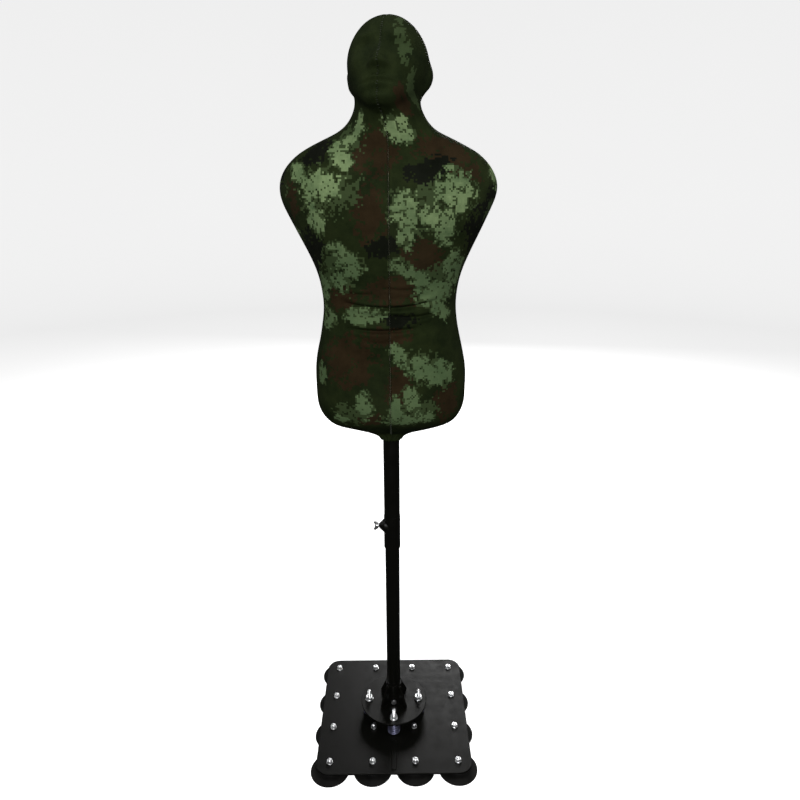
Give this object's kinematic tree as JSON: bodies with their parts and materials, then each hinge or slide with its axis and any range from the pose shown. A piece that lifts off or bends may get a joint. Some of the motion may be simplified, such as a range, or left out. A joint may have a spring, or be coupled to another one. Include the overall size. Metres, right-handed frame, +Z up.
{
  "type": "free-standing training dummy",
  "caption": "Life-size head and armless torso in camouflage stretch fabric on a telescopic pole, with a spring-mounted rocker plate and a square base on suction cups.",
  "frame": {"origin": "on the pole's axis, on the floor plane under the suction cups", "axes": "+Z up along the pole, the dummy faces -Y, +X is the dummy's left-hand side"},
  "size_m": [0.45, 0.43, 1.74],
  "materials": {
    "black_powder_coat": "satin",
    "black_rubber": "matte",
    "zinc_plate": "satin",
    "spring_zinc": "satin",
    "bearing_steel": "polished",
    "black_plastic": "matte",
    "grey_plastic": "matte",
    "plywood": "matte",
    "foam": "matte",
    "camouflage_fabric": "matte",
    "elastic": "matte"
  },
  "bodies": {
    "base": {"base_plate": "black_powder_coat", "suction_cup_01": "black_rubber", "suction_cup_02": "black_rubber", "suction_cup_03": "black_rubber", "suction_cup_04": "black_rubber", "suction_cup_05": "black_rubber", "suction_cup_06": "black_rubber", "suction_cup_07": "black_rubber", "suction_cup_08": "black_rubber", "suction_cup_09": "black_rubber", "suction_cup_10": "black_rubber", "suction_cup_11": "black_rubber", "suction_cup_12": "black_rubber", "suction_cup_13": "black_rubber", "suction_cup_14": "black_rubber", "suction_cup_15": "black_rubber", "suction_cup_16": "black_rubber", "cup_studs": "zinc_plate", "cup_washers": "zinc_plate", "cup_nuts": "zinc_plate", "pivot_pedestal": "black_powder_coat", "tilt_spring_front": "spring_zinc", "tilt_spring_back": "spring_zinc", "tilt_spring_left": "spring_zinc", "tilt_spring_right": "spring_zinc"},
    "pivot_ball": {"pivot_ball": "bearing_steel"},
    "rocker": {"rocker_disc": "black_powder_coat", "pivot_cup": "black_powder_coat", "tilt_bolts": "zinc_plate", "tilt_bolt_washers": "zinc_plate", "tilt_bolt_nuts": "zinc_plate", "tilt_bolt_lock_nuts": "zinc_plate", "stop_washers": "zinc_plate", "stop_nuts": "zinc_plate", "pole_socket": "black_powder_coat", "socket_gusset_1": "black_powder_coat", "socket_gusset_2": "black_powder_coat", "socket_gusset_3": "black_powder_coat", "socket_gusset_4": "black_powder_coat", "socket_set_bolt": "zinc_plate", "lower_tube": "black_powder_coat", "lower_tube_cap": "black_plastic"},
    "upper_pole": {"upper_tube": "black_powder_coat", "clamp_sleeve": "black_powder_coat", "clamp_boss": "black_powder_coat", "upper_tube_plug": "black_plastic"},
    "wing_screw": {"wing_screw": "zinc_plate"},
    "dummy": {"core_tube": "grey_plastic", "core_cap": "grey_plastic", "core_flange": "grey_plastic", "flange_screws": "zinc_plate", "bottom_board": "plywood", "foam_body": "foam", "base_pad": "foam", "cover_left": "camouflage_fabric", "cover_right": "camouflage_fabric", "hem_elastic": "elastic"}
  },
  "joints": [
    {"name": "tilt_fore_aft", "type": "hinge", "parent": "base", "child": "pivot_ball", "pos_m": [0, 0, 0.046], "axis": [1, 0, 0], "range_deg": [-4, 4], "stiffness_Nm_per_rad": 540, "deforming": ["tilt_spring_front", "tilt_spring_back"]},
    {"name": "tilt_sideways", "type": "hinge", "parent": "pivot_ball", "child": "rocker", "pos_m": [0, 0, 0.046], "axis": [0, 1, 0], "range_deg": [-4, 4], "stiffness_Nm_per_rad": 540, "deforming": ["tilt_spring_left", "tilt_spring_right"]},
    {"name": "height_slide", "type": "slide", "parent": "rocker", "child": "upper_pole", "axis": [0, 0, 1], "range_m": [-0.25, 0.1]},
    {"name": "wing_screw_turn", "type": "hinge", "parent": "upper_pole", "child": "wing_screw", "pos_m": [-0.0325, 0, 0.622], "axis": [1, 0, 0], "continuous": true},
    {"name": "torso_swivel", "type": "hinge", "parent": "upper_pole", "child": "dummy", "pos_m": [0, 0, 1.2], "axis": [0, 0, 1], "continuous": true}
  ]
}
